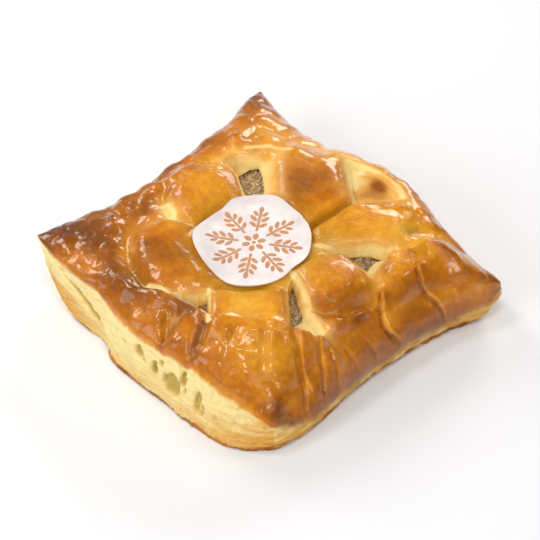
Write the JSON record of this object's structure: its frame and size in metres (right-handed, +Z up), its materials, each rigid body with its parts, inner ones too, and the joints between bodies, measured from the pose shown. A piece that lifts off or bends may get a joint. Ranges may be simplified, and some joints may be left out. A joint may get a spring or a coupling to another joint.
{
  "type": "scallop puff pastry",
  "caption": "Square puff pastry pie with raised pointed corners, a slashed glazed lid over a creamy scallop filling, and a round edible wafer on top.",
  "frame": {"origin": "middle of the flat base, on the surface the pastry lies on", "axes": "+Z up; +X runs along the tall cut front side, which faces -Y; +Y runs to the back"},
  "size_m": [0.1223, 0.1149, 0.0328],
  "materials": {
    "glazed_pastry": "egg-washed golden-brown crust, pale cream where it is cut",
    "filling": "moist creamy scallop filling",
    "wafer": "matt white wafer with a brown print"
  },
  "bodies": {
    "root": {"pastry": "glazed_pastry", "filling": "filling", "wafer_disc": "wafer"}
  },
  "joints": []
}
